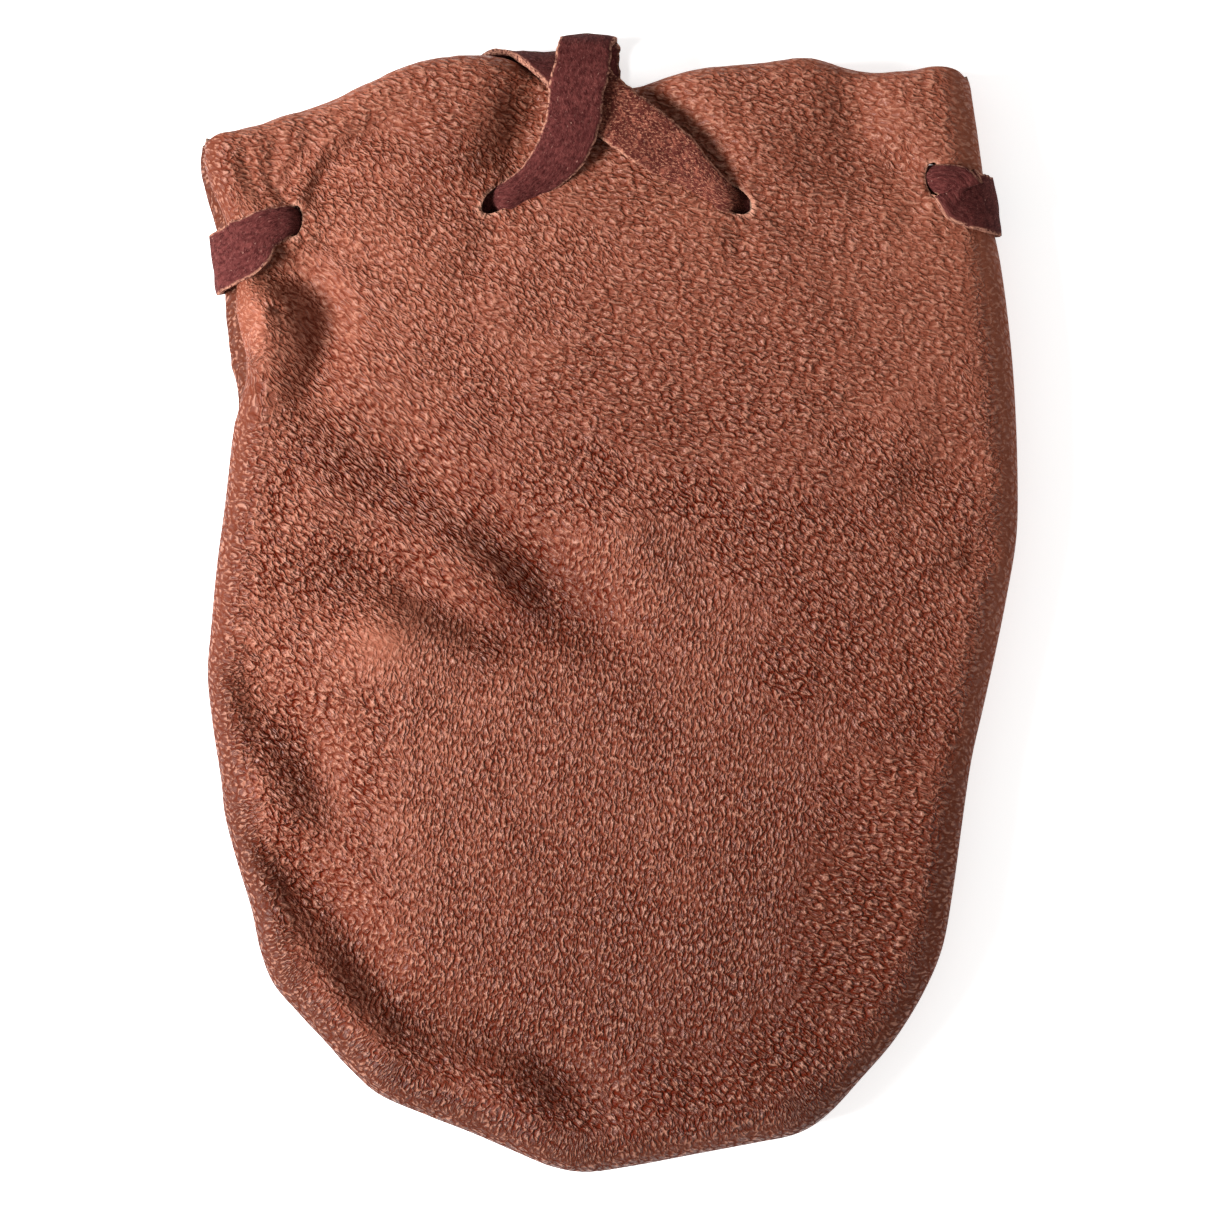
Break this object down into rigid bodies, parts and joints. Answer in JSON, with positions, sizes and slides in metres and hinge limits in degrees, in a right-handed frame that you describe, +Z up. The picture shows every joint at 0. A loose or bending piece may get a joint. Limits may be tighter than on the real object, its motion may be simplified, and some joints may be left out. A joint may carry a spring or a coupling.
{
  "type": "drawstring dice bag",
  "caption": "Soft pebbled leather pouch with a turned side seam, lying on its back, gathered by a flat suede lace threaded through holes along the mouth.",
  "frame": {"origin": "under the middle of the bag's box, on the surface it lies on", "axes": "+Y from the bottom seam towards the mouth, +Z up out of the front panel, +X across the bag to the right"},
  "size_m": [0.1289, 0.1784, 0.0184],
  "materials": {
    "front_leather": "pebbled grain, soft satin",
    "back_leather": "pebbled grain, soft satin",
    "suede_lace": "suede, matt and fuzzy",
    "sewing_thread": "bonded thread, low sheen"
  },
  "bodies": {
    "back": {"back_panel": "back_leather", "bobbin_thread": "sewing_thread", "drawcord_back": "suede_lace", "drawcord_fold_left": "suede_lace", "drawcord_fold_right": "suede_lace"},
    "front": {"front_panel": "front_leather", "needle_thread": "sewing_thread", "drawcord_front_left": "suede_lace", "drawcord_front_right": "suede_lace"},
    "tail_left": {"drawcord_tail_left": "suede_lace"},
    "tail_right": {"drawcord_tail_right": "suede_lace"}
  },
  "joints": [
    {"name": "mouth_open", "type": "hinge", "parent": "back", "child": "front", "pos_m": [0, -0.0892, 0.0065], "axis": [1, 0, 0], "range_deg": [0, 8]},
    {"name": "left_tail_pull", "type": "slide", "parent": "back", "child": "tail_left", "axis": [0, -1, 0], "range_m": [0, 0.03]},
    {"name": "right_tail_pull", "type": "slide", "parent": "back", "child": "tail_right", "axis": [0, -1, 0], "range_m": [0, 0.03]}
  ]
}
